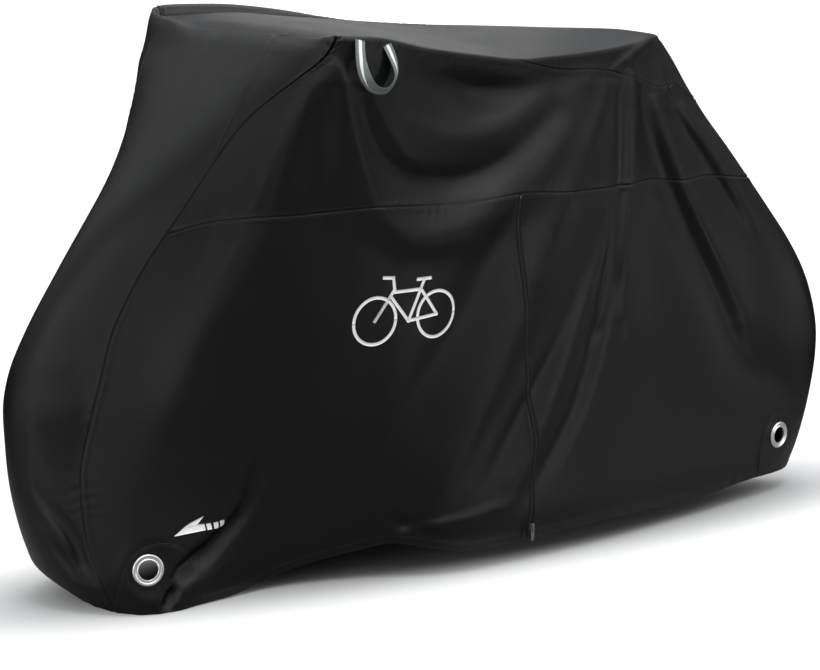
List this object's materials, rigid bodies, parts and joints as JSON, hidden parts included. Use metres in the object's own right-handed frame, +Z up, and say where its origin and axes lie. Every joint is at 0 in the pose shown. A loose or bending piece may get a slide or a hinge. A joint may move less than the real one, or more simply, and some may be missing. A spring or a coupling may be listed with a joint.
{
  "type": "bicycle cover",
  "caption": "Fitted hollow cover of dark coated cloth for a bicycle, with a zip in one side, ringed eyelets near the hem and a light loop.",
  "frame": {"origin": "on the underside of the top panel, on the centre line, in the middle of the cover's length", "axes": "+X towards the rear wheel's end, +Y towards the right side of the bicycle, which has no zip, +Z up"},
  "size_m": [1.8741, 0.7511, 1.0718],
  "materials": {
    "cover_cloth": "coated, satin",
    "eyelet_ring": "plated, satin",
    "zip_teeth": "moulded coil",
    "zip_metal": "plated",
    "loop_ribbon": "reflective, smooth"
  },
  "bodies": {
    "root": {"front_strip": "cover_cloth", "left_gore": "cover_cloth", "right_gore": "cover_cloth", "top_panel": "cover_cloth", "left_upper_panel": "cover_cloth", "left_lower_front_panel": "cover_cloth", "left_lower_rear_panel": "cover_cloth", "right_upper_panel": "cover_cloth", "right_lower_panel": "cover_cloth", "left_front_patch": "cover_cloth", "left_rear_patch": "cover_cloth", "right_front_patch": "cover_cloth", "right_rear_patch": "cover_cloth", "left_front_eyelet": "eyelet_ring", "left_rear_eyelet": "eyelet_ring", "right_front_eyelet": "eyelet_ring", "right_rear_eyelet": "eyelet_ring", "zip_chain": "zip_teeth", "zip_slider": "zip_metal", "zip_pull": "zip_metal", "reflective_loop": "loop_ribbon"}
  },
  "joints": []
}
